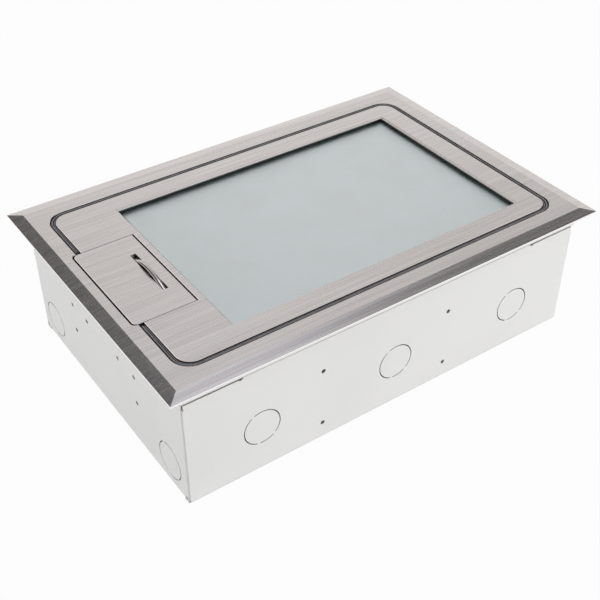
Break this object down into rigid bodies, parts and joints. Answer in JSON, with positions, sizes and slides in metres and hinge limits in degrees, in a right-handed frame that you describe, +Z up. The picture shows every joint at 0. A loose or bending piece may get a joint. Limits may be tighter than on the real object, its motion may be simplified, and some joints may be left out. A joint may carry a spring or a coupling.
{
  "type": "floor socket box",
  "caption": "Rectangular floor socket box with a ramped stainless trim, a lift-out lid with an inlay recess, a hinged cable flap and bays for power and data plates.",
  "frame": {"origin": "centre of the underside of the back box, which is the lowest face", "axes": "+X along the long side away from the cable flap, +Y along the short side, +Z up through the lid"},
  "size_m": [0.32, 0.217, 0.0959],
  "materials": {
    "brushed_stainless": "brushed along the long side, satin",
    "galvanised_sheet": "hot dip galvanised, soft mottled",
    "white_powder_coat": "smooth white powder coat",
    "seal_rubber": "black rubber, matt",
    "zinc_fasteners": "bright zinc plated",
    "polished_strip": "polished spring strip",
    "earth_brass": "plain brass",
    "white_moulding": "white moulded plastic, low gloss",
    "grey_moulding": "grey moulded plastic"
  },
  "bodies": {
    "root": {"back_box": "white_powder_coat", "divider_left": "galvanised_sheet", "divider_right": "galvanised_sheet", "divider_screws": "zinc_fasteners", "earth_stud": "earth_brass", "earth_washer": "earth_brass", "earth_nut": "earth_brass", "frame_collar": "white_powder_coat", "trim_frame": "brushed_stainless", "lid_seat": "galvanised_sheet", "seal_gasket": "seal_rubber", "frame_screws": "zinc_fasteners", "frame_nuts": "zinc_fasteners", "flap_carrier": "galvanised_sheet", "carrier_screws": "zinc_fasteners", "flap_pivots": "zinc_fasteners", "flap_pads": "seal_rubber", "plate_rails": "galvanised_sheet", "plate_screws": "zinc_fasteners", "socket_plate_middle": "white_moulding", "socket_plate_right": "white_moulding", "socket_housing_middle": "grey_moulding", "socket_housing_right": "grey_moulding", "data_plate": "white_moulding", "jack_body_front": "grey_moulding", "jack_body_back": "grey_moulding"},
    "lid": {"lid_plate": "brushed_stainless", "lid_tray": "galvanised_sheet", "lid_ribs": "galvanised_sheet"},
    "flap": {"cable_flap": "brushed_stainless"},
    "handle": {"flap_handle": "polished_strip"},
    "rocker_middle_front": {"rocker_middle_front": "white_moulding"},
    "rocker_middle_back": {"rocker_middle_back": "white_moulding"},
    "rocker_right_front": {"rocker_right_front": "white_moulding"},
    "rocker_right_back": {"rocker_right_back": "white_moulding"},
    "data_shutter_front": {"data_shutter_front": "grey_moulding"},
    "data_shutter_back": {"data_shutter_back": "grey_moulding"}
  },
  "joints": [
    {"name": "lid_lift", "type": "slide", "parent": "root", "child": "lid", "axis": [0, 0, 1], "range_m": [0, 0.11]},
    {"name": "flap_hinge", "type": "hinge", "parent": "root", "child": "flap", "pos_m": [-0.137, 0, 0.0887], "axis": [0, -1, 0], "range_deg": [0, 100]},
    {"name": "handle_sink", "type": "slide", "parent": "flap", "child": "handle", "axis": [0, 0, 1], "range_m": [-0.0009, 0]},
    {"name": "rocker_middle_front_switch", "type": "hinge", "parent": "root", "child": "rocker_middle_front", "pos_m": [0.01989, -0.0095, 0.0354], "axis": [0, 1, 0], "range_deg": [0, 10]},
    {"name": "rocker_middle_back_switch", "type": "hinge", "parent": "root", "child": "rocker_middle_back", "pos_m": [0.01989, 0.0095, 0.0354], "axis": [0, 1, 0], "range_deg": [0, 10]},
    {"name": "rocker_right_front_switch", "type": "hinge", "parent": "root", "child": "rocker_right_front", "pos_m": [0.11908, -0.0095, 0.0354], "axis": [0, 1, 0], "range_deg": [0, 10]},
    {"name": "rocker_right_back_switch", "type": "hinge", "parent": "root", "child": "rocker_right_back", "pos_m": [0.11908, 0.0095, 0.0354], "axis": [0, 1, 0], "range_deg": [0, 10]},
    {"name": "data_shutter_front_slide", "type": "slide", "parent": "root", "child": "data_shutter_front", "axis": [1, 0, 0], "range_m": [0, 0.011]},
    {"name": "data_shutter_back_slide", "type": "slide", "parent": "root", "child": "data_shutter_back", "axis": [1, 0, 0], "range_m": [0, 0.011]}
  ]
}
